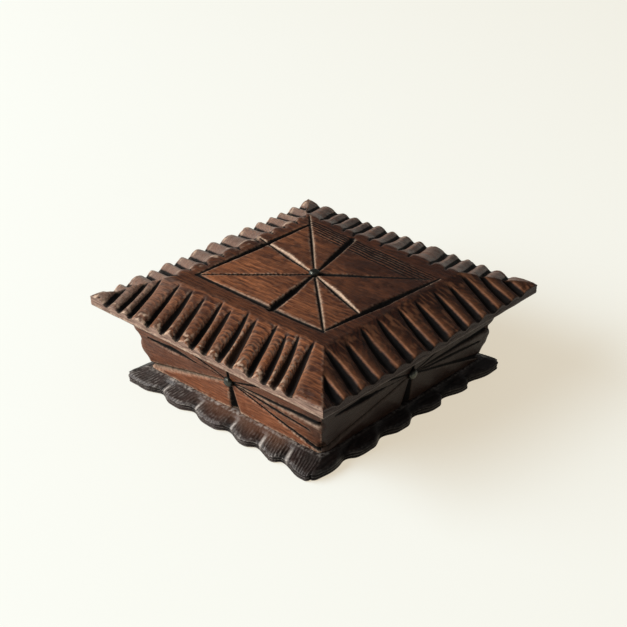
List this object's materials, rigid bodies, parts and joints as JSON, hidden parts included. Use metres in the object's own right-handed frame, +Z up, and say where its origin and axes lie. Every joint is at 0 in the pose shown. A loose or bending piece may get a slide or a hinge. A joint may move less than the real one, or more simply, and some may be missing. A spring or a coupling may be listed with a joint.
{
  "type": "jewelry box",
  "caption": "Small square wooden jewelry box with flared star-carved walls, a scalloped plinth and a hipped grooved lid that swings open on back hinges over a felt-lined inside.",
  "frame": {"origin": "on the ground under the centre of the box", "axes": "+Z up, front wall towards -Y, hinges towards +Y, right wall towards +X"},
  "size_m": [0.17, 0.17, 0.065],
  "materials": {
    "lid_wood": "dark stained softwood, satin varnish, worn arrises",
    "wall_wood": "dark stained softwood, satin varnish, worn arrises",
    "plinth_wood": "dark stained softwood, dull, worn arrises",
    "felt": "short wool felt",
    "stud_iron": "dark patina, rubbed crown",
    "hinge_brass": "aged brass",
    "nail_steel": "dull wire nail"
  },
  "bodies": {
    "box": {"base_plinth": "plinth_wood", "front_wall": "wall_wood", "right_wall": "wall_wood", "back_wall": "wall_wood", "left_wall": "wall_wood", "front_wall_lining": "felt", "right_wall_lining": "felt", "back_wall_lining": "felt", "left_wall_lining": "felt", "floor_lining": "felt", "front_stud": "stud_iron", "right_stud": "stud_iron", "back_stud": "stud_iron", "left_stud": "stud_iron", "left_hinge_body_leaf": "hinge_brass", "right_hinge_body_leaf": "hinge_brass", "left_hinge_pin": "hinge_brass", "right_hinge_pin": "hinge_brass", "wall_hinge_screws": "hinge_brass", "plinth_nails": "nail_steel"},
    "lid": {"lid_board": "lid_wood", "lid_lining": "felt", "lid_stud": "stud_iron", "left_hinge_lid_leaf": "hinge_brass", "right_hinge_lid_leaf": "hinge_brass", "lid_hinge_screws": "hinge_brass"}
  },
  "joints": [
    {"name": "lid_hinge", "type": "hinge", "parent": "box", "child": "lid", "pos_m": [0, 0.07406, 0.04485], "axis": [-1, 0, 0], "range_deg": [0, 110]}
  ]
}
